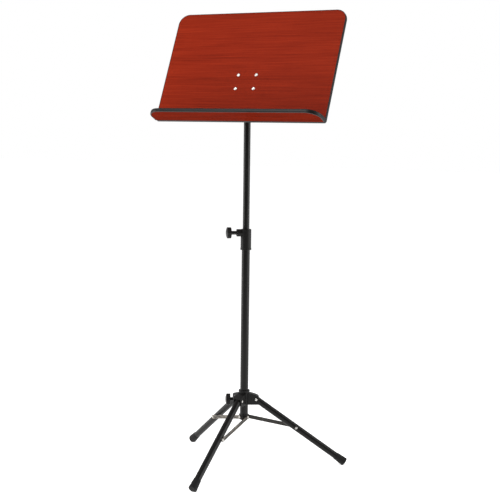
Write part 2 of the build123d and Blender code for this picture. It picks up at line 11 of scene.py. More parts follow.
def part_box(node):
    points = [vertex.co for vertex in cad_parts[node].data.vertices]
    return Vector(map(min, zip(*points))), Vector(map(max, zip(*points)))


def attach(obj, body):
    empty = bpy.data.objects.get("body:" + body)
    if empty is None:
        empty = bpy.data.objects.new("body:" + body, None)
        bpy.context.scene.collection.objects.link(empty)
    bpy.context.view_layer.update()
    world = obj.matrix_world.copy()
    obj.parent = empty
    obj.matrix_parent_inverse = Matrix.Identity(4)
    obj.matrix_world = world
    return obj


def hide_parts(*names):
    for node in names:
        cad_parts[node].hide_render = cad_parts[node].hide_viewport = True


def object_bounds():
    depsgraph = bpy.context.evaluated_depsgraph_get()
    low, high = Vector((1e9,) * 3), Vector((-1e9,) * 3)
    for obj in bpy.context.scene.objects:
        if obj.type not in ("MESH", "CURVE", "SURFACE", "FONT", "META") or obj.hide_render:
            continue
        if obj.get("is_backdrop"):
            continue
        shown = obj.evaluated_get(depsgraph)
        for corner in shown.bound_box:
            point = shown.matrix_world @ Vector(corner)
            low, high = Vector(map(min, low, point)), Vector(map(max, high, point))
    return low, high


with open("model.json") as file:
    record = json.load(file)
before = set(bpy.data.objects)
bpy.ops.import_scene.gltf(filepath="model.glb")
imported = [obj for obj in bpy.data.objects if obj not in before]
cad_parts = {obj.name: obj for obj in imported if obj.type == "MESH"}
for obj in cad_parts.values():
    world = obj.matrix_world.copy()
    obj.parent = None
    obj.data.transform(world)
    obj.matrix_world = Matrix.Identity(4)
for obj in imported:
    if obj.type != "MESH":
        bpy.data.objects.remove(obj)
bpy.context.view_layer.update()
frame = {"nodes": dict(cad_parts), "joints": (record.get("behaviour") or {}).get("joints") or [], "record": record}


# ---------------------------------------------------------------------------------------------
# Mast tubes. Two lengths of seam-welded steel tube, the thinner one sliding in the thicker, and
# both powder-coated black. The coat is semi-gloss with a faint orange peel, and it carries fine
# streaks along the tube where it has been slid and wiped.

class Socket:
    """An output of a node. Arithmetic on it adds Math nodes to the same tree."""

    def __init__(self, tree, output=None):
        self.tree = tree
        self.output = output

    def node(self, kind, settings=None, sockets=None, out=0):
        """Adds any node: its settings first, then the values or links of its sockets."""
        made = self.tree.nodes.new(kind)
        for name, value in (settings or {}).items():
            if name == "stops":
                ramp = made.color_ramp
                while len(ramp.elements) < len(value):
                    ramp.elements.new(0.5)
                for stop, (position, tint) in zip(ramp.elements, value):
                    stop.position = position
                    stop.color = tint
            else:
                setattr(made, name, value)
        for name, value in (sockets or {}).items():
            if isinstance(value, Socket):
                self.tree.links.new(value.output, made.inputs[name])
            else:
                made.inputs[name].default_value = value
        return Socket(self.tree, made.outputs[out])

    def math(self, operation, first, second):
        return self.node("ShaderNodeMath", {"operation": operation}, {0: first, 1: second})

    def __add__(self, other):
        return self.math("ADD", self, other)

    def __rsub__(self, other):
        return self.math("SUBTRACT", other, self)

    def __mul__(self, other):
        return self.math("MULTIPLY", self, other)

    __radd__ = __add__
    __rmul__ = __mul__

    def step(self, low, high):
        """Rises smoothly from 0 at low to 1 at high."""
        return self.node("ShaderNodeMapRange", {"interpolation_type": "SMOOTHSTEP"},
                         {"Value": self, "From Min": low, "From Max": high})

    def blend(self, first, second):
        """Mix of two colours, with this value as its factor."""
        return self.node("ShaderNodeMix", {"data_type": "RGBA"},
                         {0: self, 6: first, 7: second}, 2)


def shade(red, green, blue):
    """A colour from linear red, green and blue."""
    return (red, green, blue, 1.0)


def place_along(origin, along, side=Vector((0, 0, 1))):
    """Matrix that puts a piece's origin at a point and its Z along a direction."""
    z = Vector(along).normalized()
    x = Vector(side).cross(z)
    if x.length < 1e-6:
        x = Vector((1, 0, 0))
    x.normalize()
    y = z.cross(x)
    place = Matrix((x, y, z)).transposed().to_4x4()
    place.translation = Vector(origin)
    return place


def start_finish(name, place=Matrix()):
    """A material, its shader, and coordinates that are turned and centred on a piece."""
    finish = bpy.data.materials.new(name)
    finish.use_nodes = True
    tree = finish.node_tree
    at = Socket(tree).node("ShaderNodeTexCoord", out="Object")
    at = at.node("ShaderNodeMapping", {"vector_type": "TEXTURE"},
                 {"Vector": at, "Location": place.translation, "Rotation": place.to_euler()})
    return finish, tree.nodes["Principled BSDF"], at


def drawn_out(at, x, y, z):
    """Coordinates multiplied along each axis, so that a pattern is drawn out along one."""
    return at.node("ShaderNodeVectorMath", {"operation": "MULTIPLY"}, {0: at, 1: (x, y, z)})


def mottle(at, scale, detail=2.0, roughness=0.5, distortion=0.0):
    """Soft random pattern from 0 to 1, with that many patches a metre."""
    return at.node("ShaderNodeTexNoise", None, {"Vector": at, "Scale": scale, "Detail": detail,
                                                "Roughness": roughness,
                                                "Distortion": distortion})


def relief(height, depth, strength=1.0):
    """Surface bumps of a depth in metres from a height that runs from 0 to 1."""
    return height.node("ShaderNodeBump", None, {"Height": height, "Distance": depth,
                                                "Strength": strength})


def set_finish(shader, **sockets):
    """Sets or links the shader's sockets. An underscore in a name stands for a space."""
    for name, value in sockets.items():
        socket = shader.inputs[name.replace("_", " ")]
        if isinstance(value, Socket):
            value.tree.links.new(value.output, socket)
        else:
            socket.default_value = value


def powder_coat(name, gloss, place=Matrix()):
    """Black powder coat on a tube that runs along Z once placed."""
    finish, shader, at = start_finish(name, place)
    peel = mottle(at, 1100, detail=2.0)
    streaks = mottle(drawn_out(at, 520, 520, 7), 1.0, detail=4.0, roughness=0.6)
    cloud = mottle(at, 16, detail=3.0)
    worn = streaks.step(0.55, 0.78)
    set_finish(shader,
               Base_Color=worn.blend(shade(0.0045, 0.0042, 0.0038), shade(0.015, 0.0135, 0.0115)),
               Roughness=0.24 + 0.14 * cloud + 0.14 * worn,
               Normal=relief(0.7 * peel + 0.3 * streaks, depth=0.00005, strength=0.7),
               Specular_IOR_Level=gloss)
    return finish


def dress(finish, *nodes):
    """Gives CAD nodes a finish."""
    for node in nodes:
        for slot in frame["nodes"][node].material_slots:
            slot.material = finish


dress(powder_coat("powder_coat_lower", gloss=0.24), "lower_tube")
dress(powder_coat("powder_coat_upper", gloss=0.3), "upper_tube")


# ---------------------------------------------------------------------------------------------
# Guide bush. A turned nylon sleeve pressed on the lower end of the upper tube, which keeps it
# central in the lower one. Like the clamp's bush it is plain nylon with a faint turned lay.

def plain_nylon(name):
    """Turned nylon, dark grey, with fine rings round Z."""
    finish, shader, at = start_finish(name)
    lay = mottle(drawn_out(at, 30, 30, 2600), 1.0, detail=2.0)
    cloud = mottle(at, 60, detail=2.0)
    set_finish(shader,
               Base_Color=cloud.blend(shade(0.028, 0.028, 0.03), shade(0.045, 0.045, 0.047)),
               Roughness=0.42 + 0.14 * lay,
               Normal=relief(lay, depth=0.00003, strength=0.6))
    return finish


turned_nylon = plain_nylon("turned_nylon")
dress(turned_nylon, "guide_bush", "clamp_bush")


# ---------------------------------------------------------------------------------------------
# Mast plug. A moulded nylon plug in the foot of the lower tube, with a flat for each brace.
# The hub, the clamp collar and this plug are the same glass-filled nylon with a spark texture.

def moulded_nylon(name):
    """Black glass-filled nylon: fine spark texture, scuffed a little lighter in places."""
    finish, shader, at = start_finish(name)
    texture = mottle(at, 1500, detail=3.0, roughness=0.6)
    flow = mottle(at, 45, detail=3.0, roughness=0.5, distortion=0.6)
    scuffs = mottle(drawn_out(at, 220, 220, 700), 1.0, detail=5.0, roughness=0.7).step(0.62, 0.8)
    set_finish(shader,
               Base_Color=scuffs.blend(shade(0.0045, 0.0042, 0.004), shade(0.02, 0.0185, 0.017)),
               Roughness=0.34 + 0.16 * flow + 0.14 * scuffs,
               Normal=relief(texture, depth=0.00008, strength=0.55),
               Specular_IOR_Level=0.22)
    return finish


black_nylon = moulded_nylon("black_nylon")
dress(black_nylon, "mast_plug")


# ---------------------------------------------------------------------------------------------
# Brace pins. Each brace turns on a short zinc-plated pin in the plug, closed with a low round
# head. Every riveted joint of the stand has such heads, in its own size.

def zinc_plate(name, bright):
    """Plated steel: brushed a little, clouded by handling."""
    finish, shader, at = start_finish(name)
    brushed = mottle(drawn_out(at, 300, 300, 2600), 1.0, detail=3.0, roughness=0.6)
    cloud = mottle(at, 110, detail=3.0)
    tint = shade(0.62 * bright, 0.61 * bright, 0.58 * bright)
    dull = shade(0.40 * bright, 0.385 * bright, 0.36 * bright)
    set_finish(shader,
               Base_Color=cloud.step(0.35, 0.75).blend(tint, dull),
               Metallic=1.0,
               Roughness=0.2 + 0.18 * cloud + 0.08 * brushed,
               Normal=relief(brushed, depth=0.00002, strength=0.6))
    return finish


zinc = zinc_plate("zinc_plate", bright=1.0)


def start_tree(name, inputs):
    """An empty geometry tree with those inputs, and the socket of each by its name."""
    tree = bpy.data.node_groups.new(name, "GeometryNodeTree")
    tree.interface.new_socket("Geometry", in_out="OUTPUT", socket_type="NodeSocketGeometry")
    names = {"Geometry": "NodeSocketGeometry", **inputs, "Finish": "NodeSocketMaterial"}
    for label, kind in names.items():
        tree.interface.new_socket(label, in_out="INPUT", socket_type=kind)
    source = tree.nodes.new("NodeGroupInput")
    return tree, {label: Socket(tree, source.outputs[label]) for label in names}


def end_tree(tree, shape, finish):
    """Ends a tree: instances made real, smooth, in their finish."""
    shape = shape.node("GeometryNodeRealizeInstances", None, {"Geometry": shape})
    shape = shape.node("GeometryNodeSetShadeSmooth", None, {"Geometry": shape})
    shape = shape.node("GeometryNodeSetMaterial", None, {"Geometry": shape, "Material": finish})
    sink = tree.nodes.new("NodeGroupOutput")
    tree.links.new(shape.output, sink.inputs["Geometry"])
    return tree


def grown(name, mesh, tree, **values):
    """A plain mesh object grown from a mesh by a geometry tree."""
    piece = bpy.data.objects.new(name, mesh)
    bpy.context.scene.collection.objects.link(piece)
    modifier = piece.modifiers.new(name, "NODES")
    modifier.node_group = tree
    for item in tree.interface.items_tree:
        if item.in_out == "INPUT" and item.name in values:
            modifier[item.identifier] = values[item.name]
    ready = piece.evaluated_get(bpy.context.evaluated_depsgraph_get())
    made = bpy.data.meshes.new_from_object(ready)
    piece.modifiers.remove(modifier)
    piece.data = made
    made.name = name
    return piece


def fit(piece, body, slot, *nodes):
    """Fixes a finished piece to its body, in place of the CAD nodes that it details."""
    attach(piece, body)
    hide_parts(*nodes)
    return piece


def heads_tree():
    """Round rivet heads, one on each point, facing the way that the point's axis says."""
    tree, given = start_tree("round_heads", {"Radius": "NodeSocketFloat",
                                             "Height": "NodeSocketFloat"})
    ball = given["Radius"].node("GeometryNodeMeshUVSphere", None,
                                {"Segments": 36, "Rings": 20, "Radius": 1.0})
    size = ball.node("ShaderNodeCombineXYZ", None, {"X": given["Radius"], "Y": given["Radius"],
                                                    "Z": given["Height"]})
    head = ball.node("GeometryNodeTransform", None, {"Geometry": ball, "Scale": size})
    axis = head.node("GeometryNodeInputNamedAttribute", {"data_type": "FLOAT_VECTOR"},
                     {"Name": "axis"})
    turn = axis.node("FunctionNodeAlignRotationToVector", {"axis": "Z"}, {"Vector": axis})
    share = head.node("GeometryNodeInputNamedAttribute", {"data_type": "FLOAT_VECTOR"},
                      {"Name": "share"})
    heads = head.node("GeometryNodeInstanceOnPoints", None,
                      {"Points": given["Geometry"], "Instance": head, "Rotation": turn,
                       "Scale": share})
    return end_tree(tree, heads, given["Finish"])


round_heads = heads_tree()


def seats(name, places):
    """Loose points with the direction each head faces and its share of the full size."""
    mesh = bpy.data.meshes.new(name)
    mesh.from_pydata([point for point, _, _ in places], [], [])
    for label, column in (("axis", 1), ("share", 2)):
        attribute = mesh.attributes.new(label, "FLOAT_VECTOR", "POINT")
        for point, place in zip(attribute.data, places):
            point.vector = place[column]
    return mesh


def span(node, axis):
    """Where a CAD node starts and ends along a direction."""
    reach = [vertex.co.dot(axis) for vertex in frame["nodes"][node].data.vertices]
    return min(reach), max(reach)


dress(zinc, "brace_inner_pins")


# ---------------------------------------------------------------------------------------------
# Hub. One nylon moulding that slides on the lower tube, with a slotted arm for each leg and a
# boss for its lock screw. The legs turn on plated rivets whose heads show on the arms' cheeks.

dress(black_nylon, "hub")
dress(zinc, "hub_nut", "leg_pivot_rivets")


# ---------------------------------------------------------------------------------------------
# Legs. Three steel tubes, powder-coated like the mast, each on its own rivet in the hub. The
# streaks in a leg's coat run down the leg.

joints = {joint["name"]: joint for joint in frame["joints"]}
leg_places = {}
for number in (1, 2, 3):
    pivot = Vector(joints[f"leg_fold_{number}"]["pos_m"])
    pin = Vector(joints[f"leg_fold_{number}"]["axis"])
    low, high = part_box(f"leg_rivet_{number}")
    down_leg = (low + high) / 2 - pivot
    leg_places[number] = place_along(pivot, down_leg - pin * down_leg.dot(pin))
    coat = powder_coat(f"powder_coat_leg_{number}", gloss=0.2, place=leg_places[number])
    dress(coat, f"leg_tube_{number}")
    dress(zinc, f"leg_rivet_{number}")
    dress(turned_nylon, f"brace_washer_{number}")


# ---------------------------------------------------------------------------------------------
# Feet. Flared rubber boots with flat ends, pushed on the legs. Each stands on its lower edge,
# which has worn to a small flat.

DUST_HEIGHT = 0.014            # metres above the floor, where the last of the dust ends


def boot_rubber(name, place):
    """Matt black rubber, greyed with dust towards the floor."""
    finish, shader, at = start_finish(name, place)
    grain = mottle(at, 1300, detail=3.0, roughness=0.6)
    dust = mottle(at, 120, detail=5.0, roughness=0.65)
    world = at.node("ShaderNodeTexCoord", out="Object")
    height = world.node("ShaderNodeSeparateXYZ", None, {"Vector": world}, "Z")
    low = 1 - height.step(0.0, DUST_HEIGHT)
    set_finish(shader,
               Base_Color=(low * dust.step(0.35, 0.7)).blend(shade(0.005, 0.005, 0.005),
                                                            shade(0.022, 0.0207, 0.019)),
               Specular_IOR_Level=0.25,
               Roughness=0.58 + 0.2 * dust,
               Normal=relief(grain, depth=0.0001, strength=0.6))
    return finish


for number, place in leg_places.items():
    dress(boot_rubber(f"boot_rubber_{number}", place), f"foot_{number}")


# ---------------------------------------------------------------------------------------------
# Braces. Flat strips of steel, pressed with a stiffening groove and thinly enamelled over a
# bronze-grey plate, which shows through along the strip. How much shows differs by brace: that
# difference is painted light, with the braces that catch more light painted lighter. Each is
# riveted to its leg.

# Share of each brace that shows the bronze: wear, and painted light as well, set higher on the braces that catch
# more light.
BRONZE_AND_PAINTED_LIGHT = {1: 0.12, 2: 0.95, 3: 0.75}     # share of each brace that is rubbed back


def brace_enamel_and_painted_light(name, place, rub_and_painted_light):
    """Thin dark enamel on pressed steel, worn back to bronze grey by a share partly of painted light."""
    finish, shader, at = start_finish(name, place)
    streaks = mottle(drawn_out(at, 500, 500, 12), 1.0, detail=4.0, roughness=0.6)
    # Worn-back streaks, scaled per brace by a share that is partly painted light.
    rubbed_and_painted_light = streaks.step(0.36, 0.62) * rub_and_painted_light
    cloud = mottle(at, 70, detail=3.0)
    set_finish(shader,
               Base_Color=rubbed_and_painted_light.blend(shade(0.012, 0.0105, 0.009), shade(0.23, 0.205, 0.17)),
               Metallic=0.35 + 0.5 * rubbed_and_painted_light,
               Roughness=0.3 + 0.16 * cloud,
               Normal=relief(rubbed_and_painted_light, depth=0.00003, strength=0.5))
    return finish


# Each brace's share of bronze is partly painted light.
for number, rub_and_painted_light in BRONZE_AND_PAINTED_LIGHT.items():
    inner = Vector(joints[f"brace_swing_{number}"]["pos_m"])
    low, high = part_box(f"brace_rivet_{number}")
    place = place_along(inner, (low + high) / 2 - inner)
    dress(brace_enamel_and_painted_light(f"brace_enamel_and_painted_light_{number}", place, rub_and_painted_light), f"brace_{number}")
    dress(zinc, f"brace_rivet_{number}")


# ---------------------------------------------------------------------------------------------
# Clamp collar. A nylon moulding on top of the lower tube, with a flush-topped boss for the
# clamp screw. A captive nut takes the screw.

dress(black_nylon, "clamp_collar")
dress(zinc, "clamp_nut")


# ---------------------------------------------------------------------------------------------
# Knobs. Three alike, moulded in black phenolic on their screws: a stem, a ribbed rim between
# two narrow flanges, and a domed face. They are semi-gloss as moulded, and handling has left
# a faint bloom on them.

MM = 0.001
KNOB_THICKNESS = 11.4 * MM
KNOB_CROWN = 2.6 * MM          # height of the domed face
STEM_RADIUS = 5.1 * MM
STEM_FLARE = 1.6 * MM          # the stem widens by this much where it meets the back
STEM_FLARE_START = -0.2 * MM   # heights from the back's edge
STEM_FLARE_END = 0.7 * MM
BACK_DISH = 0.9 * MM
DISH_RADIUS = 11.5 * MM
BACK_EDGE_RADIUS = 12.6 * MM
FACE_EDGE_RADIUS = 13.2 * MM
FLANGE_RADIUS = 14.75 * MM
FLANGE = 1.0 * MM
FLANGE_BACK_BEVEL = 0.3 * MM
FLANGE_FACE_BEVEL = 0.45 * MM
RIM_RADIUS = 13.9 * MM
RIM_STEP = 0.35 * MM           # slope from a flange down to the rim
EDGE_ROUND = 0.35 * MM
ROUND_LIMIT = 0.45             # share of a side that the rounding of a corner may take up
# Outline of the domed face, in millimetres out from the axis and up from the face's edge.
DOME = ((11.6, 0.75), (9.4, 1.45), (6.8, 2.05), (3.6, 2.45), (1.6, 2.57), (0.0, 2.6))
RIB_COUNT = 24
RIB_RADIUS = 1.1 * MM
RIB_LENGTH = KNOB_THICKNESS - 1.6 * MM
SHARP = 35                     # degrees between faces, from which an edge is kept sharp
TINY = 1e-6                    # metres


def phenolic(name, place):
    """Black phenolic moulding, semi-gloss, with flow marks round its axis and a faint bloom."""
    finish, shader, at = start_finish(name, place)
    swirl = mottle(drawn_out(at, 260, 260, 900), 1.0, detail=4.0, roughness=0.6, distortion=0.8)
    bloom = mottle(at, 90, detail=3.0)
    set_finish(shader,
               Base_Color=bloom.step(0.4, 0.8).blend(shade(0.006, 0.0055, 0.0052),
                                                     shade(0.016, 0.0145, 0.013)),
               Roughness=0.24 + 0.14 * swirl + 0.06 * bloom,
               Normal=relief(swirl, depth=0.00004, strength=0.5),
               Specular_IOR_Level=0.3)
    return finish


def softened(outline, radius, steps=4):
    """Outline with its inner corners rounded."""
    path = [Vector(point) for point in outline]
    soft = [path[0]]
    for before, corner, after in zip(path, path[1:], path[2:]):
        reach_in = min(radius, (corner - before).length * ROUND_LIMIT)
        reach_out = min(radius, (after - corner).length * ROUND_LIMIT)
        start = corner + (before - corner).normalized() * reach_in
        end = corner + (after - corner).normalized() * reach_out
        for step in range(steps + 1):
            t = step / steps
            soft.append((1 - t) ** 2 * start + 2 * t * (1 - t) * corner + t ** 2 * end)
    return soft + [path[-1]]


def lathe(name, outline, segments=96):
    """Closed turned shape round Z from an outline of (radius, height) points."""
    shape = bmesh.new()
    rings = []
    for radius, height in outline:
        if radius < TINY:
            rings.append([shape.verts.new((0, 0, height))])
        else:
            rings.append([shape.verts.new((radius * cos(2 * pi * k / segments),
                                           radius * sin(2 * pi * k / segments), height))
                          for k in range(segments)])
    for lower, upper in zip(rings, rings[1:]):
        for k in range(segments):
            following = (k + 1) % segments
            corners = [lower[k % len(lower)], lower[following % len(lower)],
                       upper[following % len(upper)], upper[k % len(upper)]]
            face = list(dict.fromkeys(corners))
            if len(face) > 2:
                shape.faces.new(face)
    bmesh.ops.recalc_face_normals(shape, faces=shape.faces)
    return as_mesh(name, shape)


def as_mesh(name, shape, crease=SHARP):
    """Smooth-shaded mesh of a shape, with its sharper edges kept sharp."""
    mesh = bpy.data.meshes.new(name)
    shape.to_mesh(mesh)
    shape.free()
    mesh.shade_smooth()
    mesh.set_sharp_from_angle(angle=radians(crease))
    return mesh


def ribs_tree():
    """Adds ribs along Z round a rim, to the knob that they belong to."""
    tree, given = start_tree("knob_ribs", {"Count": "NodeSocketInt",
                                           "Rim Radius": "NodeSocketFloat",
                                           "Rib Radius": "NodeSocketFloat",
                                           "Rib Length": "NodeSocketFloat",
                                           "Middle": "NodeSocketFloat"})
    ring = given["Count"].node("GeometryNodeMeshCircle", None,
                               {"Vertices": given["Count"], "Radius": given["Rim Radius"]})
    rib = ring.node("GeometryNodeMeshCylinder", None,
                    {"Vertices": 14, "Radius": given["Rib Radius"],
                     "Depth": given["Rib Length"]})
    ribs = ring.node("GeometryNodeInstanceOnPoints", None, {"Points": ring, "Instance": rib})
    lift = ribs.node("ShaderNodeCombineXYZ", None, {"Z": given["Middle"]})
    ribs = ribs.node("GeometryNodeTransform", None, {"Geometry": ribs, "Translation": lift})
    whole = tree.nodes.new("GeometryNodeJoinGeometry")
    tree.links.new(ribs.output, whole.inputs[0])
    tree.links.new(given["Geometry"].output, whole.inputs[0])
    return end_tree(tree, Socket(tree, whole.outputs[0]), given["Finish"])


knob_ribs = ribs_tree()


def knob(node, joint):
    """A knob on its joint's axis, in place of its CAD node."""
    axis = Vector(joints[joint]["axis"]).normalized()
    point = Vector(joints[joint]["pos_m"])
    root = point - axis * point.dot(axis)
    start, end = span(node, axis)
    face = end - KNOB_CROWN
    back = face - KNOB_THICKNESS
    place = place_along(root, axis)
    body = softened([
        (0.0, start), (STEM_RADIUS, start), (STEM_RADIUS, back + STEM_FLARE_START),
        (STEM_RADIUS + STEM_FLARE, back + STEM_FLARE_END), (DISH_RADIUS, back + BACK_DISH),
        (BACK_EDGE_RADIUS, back), (FLANGE_RADIUS, back + FLANGE_BACK_BEVEL),
        (FLANGE_RADIUS, back + FLANGE), (RIM_RADIUS, back + FLANGE + RIM_STEP),
        (RIM_RADIUS, face - FLANGE - RIM_STEP), (FLANGE_RADIUS, face - FLANGE),
        (FLANGE_RADIUS, face - FLANGE_FACE_BEVEL), (FACE_EDGE_RADIUS, face)], EDGE_ROUND)
    body += [Vector((radius * MM, face + height * MM)) for radius, height in DOME]
    finish = phenolic("phenolic_" + node, place)
    piece = grown(node + "_moulding", lathe(node, body), knob_ribs,
                  **{"Count": RIB_COUNT, "Rim Radius": RIM_RADIUS, "Rib Radius": RIB_RADIUS,
                     "Rib Length": RIB_LENGTH,
                     "Middle": (back + face) / 2, "Finish": finish})
    piece.data.transform(place)
    piece.data.set_sharp_from_angle(angle=radians(SHARP))
    return piece


fit(knob("clamp_knob", "clamp_knob_turn"), "clamp_knob", "knob_plastic", "clamp_knob")
fit(knob("hub_knob", "hub_knob_turn"), "hub_knob", "knob_plastic", "hub_knob")
fit(knob("tilt_knob", "tilt_knob_turn"), "tilt_knob", "knob_plastic", "tilt_knob")


# ---------------------------------------------------------------------------------------------
# Screws of the knobs, and the brass insert of the one that locks the tilt. Nickel-plated steel
# and turned brass, seen only between each knob and what it clamps.

nickel = zinc_plate("nickel_plate", bright=1.3)
dress(nickel, "clamp_screw", "hub_screw")


def turned_brass(name):
    """Brass with the rings of its turning."""
    finish, shader, at = start_finish(name)
    lay = mottle(drawn_out(at, 2600, 60, 60), 1.0, detail=2.0)
    set_finish(shader,
               Base_Color=lay.blend(shade(0.62, 0.42, 0.14), shade(0.78, 0.56, 0.24)),
               Metallic=1.0,
               Roughness=0.24 + 0.14 * lay,
               Normal=relief(lay, depth=0.00002, strength=0.6))
    return finish


dress(turned_brass("turned_brass"), "tilt_knob_insert")


# ---------------------------------------------------------------------------------------------
# Tilt head. A painted zinc casting whose spigot is riveted in the top of the upper tube, held
# between the bracket's ears by one bolt, with a nylon washer on each side.

def cast_paint(name):
    """Black paint over the soft surface of a die casting."""
    finish, shader, at = start_finish(name)
    skin = mottle(at, 420, detail=4.0, roughness=0.6)
    cloud = mottle(at, 70, detail=2.0)
    set_finish(shader,
               Base_Color=cloud.blend(shade(0.011, 0.011, 0.011), shade(0.023, 0.022, 0.021)),
               Roughness=0.36 + 0.16 * cloud,
               Normal=relief(skin, depth=0.00012, strength=0.5))
    return finish


dress(cast_paint("cast_paint"), "tilt_head")
dress(turned_nylon, "tilt_washers")
dress(nickel, "tilt_bolt", "head_rivet")


# ---------------------------------------------------------------------------------------------
# Bracket. One pressed steel plate with two folded ears, powder-coated and riveted behind the
# desk, low down where the mast's head meets it.

LIP = 0.4 * MM                 # how far the desk's moulding stands over its veneer
ledge = next(mount for mount in frame["record"]["mounts"] if mount["name"] == "ledge")
desk_axis = Vector(ledge["axis"]).normalized()                 # up the desk
desk_out = Vector((1, 0, 0)).cross(desk_axis)                  # out of the desk's face
desk_foot = (desk_axis * span("desk_edge_trim", desk_axis)[0]
             + desk_out * (span("desk_edge_trim", desk_out)[1] - LIP))
desk_place = Matrix((Vector((1, 0, 0)), desk_axis, desk_out)).transposed().to_4x4()
desk_place.translation = desk_foot
dress(powder_coat("powder_coat_bracket", gloss=0.25, place=desk_place), "desk_bracket")


# ---------------------------------------------------------------------------------------------
# Desk and shelf. Two boards faced with mahogany veneer, stained red-brown, its grain running
# across the stand, under a thin satin lacquer that lets the open pores show. The shelf's veneer
# is painted darker than the desk's: painted shade, for its underside is seen in shade.

VENEER_TONES = ((0.30, (0.140, 0.0100, 0.0030)), (0.45, (0.225, 0.0160, 0.0045)),
                (0.58, (0.290, 0.0225, 0.0065)), (0.72, (0.355, 0.0310, 0.0100)))
PORE_STAIN = (0.085, 0.009, 0.004)
PORE_FILL = 0.55               # how far the stain in an open pore hides the veneer


def stain_depth_and_painted_shade(colour, depth):
    """A veneer colour, multiplied by its stain's depth, which on the shelf also paints shade."""
    return shade(*(part * depth for part in colour))


def mahogany(name, place, depth, gloss):
    """Red mahogany veneer, grain along X, stained to a depth that on the shelf paints shade."""
    finish, shader, at = start_finish(name, place)
    figure = mottle(drawn_out(at, 1.3, 46, 20), 1.0, detail=3.0, roughness=0.55, distortion=0.2)
    grain = mottle(drawn_out(at, 6, 420, 160), 1.0, detail=4.0, roughness=0.62, distortion=0.3)
    pores = mottle(drawn_out(at, 60, 1700, 900), 1.0, detail=2.0, roughness=0.5).step(0.60, 0.72)
    cloud = mottle(drawn_out(at, 3, 5, 5), 1.0, detail=2.0)
    tone = 0.62 * grain + 0.26 * figure + 0.12 * cloud
    # Stops scaled by depth: on the shelf the low depth is painted shade.
    stops = [(position, stain_depth_and_painted_shade(colour, depth)) for position, colour in VENEER_TONES]
    stain = tone.node("ShaderNodeValToRGB", {"stops": stops}, {"Fac": tone})
    filled = (pores * PORE_FILL).blend(stain, stain_depth_and_painted_shade(PORE_STAIN, depth))
    set_finish(shader,
               Base_Color=filled,
               Roughness=0.36 + 0.14 * grain + 0.12 * pores,
               Specular_IOR_Level=gloss,
               Normal=relief(0.6 * grain + (1 - pores) * 0.4, depth=0.00006, strength=0.55))
    return finish


dress(mahogany("mahogany_desk", desk_place, depth=1.12, gloss=0.025), "desk_board")
# The shelf's low depth darkens its veneer: painted shade, for its underside seen in shade.
dress(mahogany("mahogany_shelf_painted_shade", desk_place, depth=0.64, gloss=0.002), "shelf_board")


# ---------------------------------------------------------------------------------------------
# Edge mouldings. Black extruded plastic with a crowned face and two thin lips, knocked into a
# groove round each board. The desk's runs all round it, the shelf's round its three free sides.

DESK_WIDTH = 500 * MM
DESK_HEIGHT = 320 * MM
TOP_CORNER = 30 * MM
BOTTOM_CORNER = 6 * MM
SHELF_DEPTH = 57 * MM
SHELF_CORNER = 38 * MM

# The moulding's section in millimetres, each point as its distance in from the moulding's
# outside and its height over the veneer. The tip of the lip is measured back from its reach.
BOARD = 9.0
DESK_LIP_REACH = 2.1
SHELF_LIP_REACH = 3.6
LIP_TIP = ((0.0, -0.3), (0.0, 0.28), (0.2, 0.4))
LIP_TOP = ((1.6, 0.4), (1.1, 0.32), (0.7, 0.1))
CROWN = ((0.42, -0.25), (0.16, -1.1), (0.03, -2.6), (0.0, -4.5))
MOULDING_CREASE = 50           # degrees, from which an edge is kept sharp


def edge_plastic(name, place):
    """Black extruded plastic, semi-gloss, with faint drawn lines and small knocks."""
    finish, shader, at = start_finish(name, place)
    skin = mottle(at, 800, detail=3.0, roughness=0.6)
    cloud = mottle(at, 35, detail=3.0)
    knocks = mottle(at, 240, detail=4.0, roughness=0.7).step(0.68, 0.8)
    set_finish(shader,
               Base_Color=knocks.blend(shade(0.007, 0.0068, 0.0066), shade(0.03, 0.029, 0.028)),
               Specular_IOR_Level=0.22,
               Roughness=0.32 + 0.14 * cloud + 0.1 * knocks,
               Normal=relief(skin, depth=0.00005, strength=0.5))
    return finish


def corner(centre, radius, start, steps):
    """Outline points and outward directions round a quarter of a circle, from an angle."""
    for step in range(steps + 1):
        angle = radians(start + 90 * step / steps)
        outward = Vector((cos(angle), sin(angle)))
        yield Vector(centre) + outward * radius, outward


def moulding(name, outline, closed, place, finish, lip_reach):
    """The moulding's section swept round an outline of points and outward directions."""
    tip = [(lip_reach - back, height) for back, height in LIP_TIP]
    front = tip + list(LIP_TOP + CROWN)
    section = front + [(inset, -BOARD - height) for inset, height in reversed(front[:-1])]
    shape = bmesh.new()
    rings = []
    for point, outward in outline:
        ring = []
        for inset, height in section:
            spot = point - outward * inset * MM
            ring.append(shape.verts.new((spot.x, spot.y, height * MM)))
        rings.append(ring)
    pairs = list(zip(rings, rings[1:])) + ([(rings[-1], rings[0])] if closed else [])
    for first, second in pairs:
        for k in range(len(section)):
            following = (k + 1) % len(section)
            shape.faces.new((first[k], first[following], second[following], second[k]))
    if not closed:
        shape.faces.new(rings[0])
        shape.faces.new(reversed(rings[-1]))
    bmesh.ops.recalc_face_normals(shape, faces=shape.faces)
    mesh = as_mesh(name, shape, MOULDING_CREASE)
    mesh.transform(place)
    mesh.materials.append(finish)
    piece = bpy.data.objects.new(name, mesh)
    bpy.context.scene.collection.objects.link(piece)
    return piece


half = DESK_WIDTH / 2
desk_corners = [
    corner((half - BOTTOM_CORNER, BOTTOM_CORNER), BOTTOM_CORNER, start=-90, steps=10),
    corner((half - TOP_CORNER, DESK_HEIGHT - TOP_CORNER), TOP_CORNER, start=0, steps=24),
    corner((TOP_CORNER - half, DESK_HEIGHT - TOP_CORNER), TOP_CORNER, start=90, steps=24),
    corner((BOTTOM_CORNER - half, BOTTOM_CORNER), BOTTOM_CORNER, start=180, steps=10)]
desk_outline = [place for arc in desk_corners for place in arc]
fit(moulding("desk_edge_moulding", desk_outline, True, desk_place,
             edge_plastic("edge_plastic_desk", desk_place), DESK_LIP_REACH),
    "desk", "edge_moulding", "desk_edge_trim")

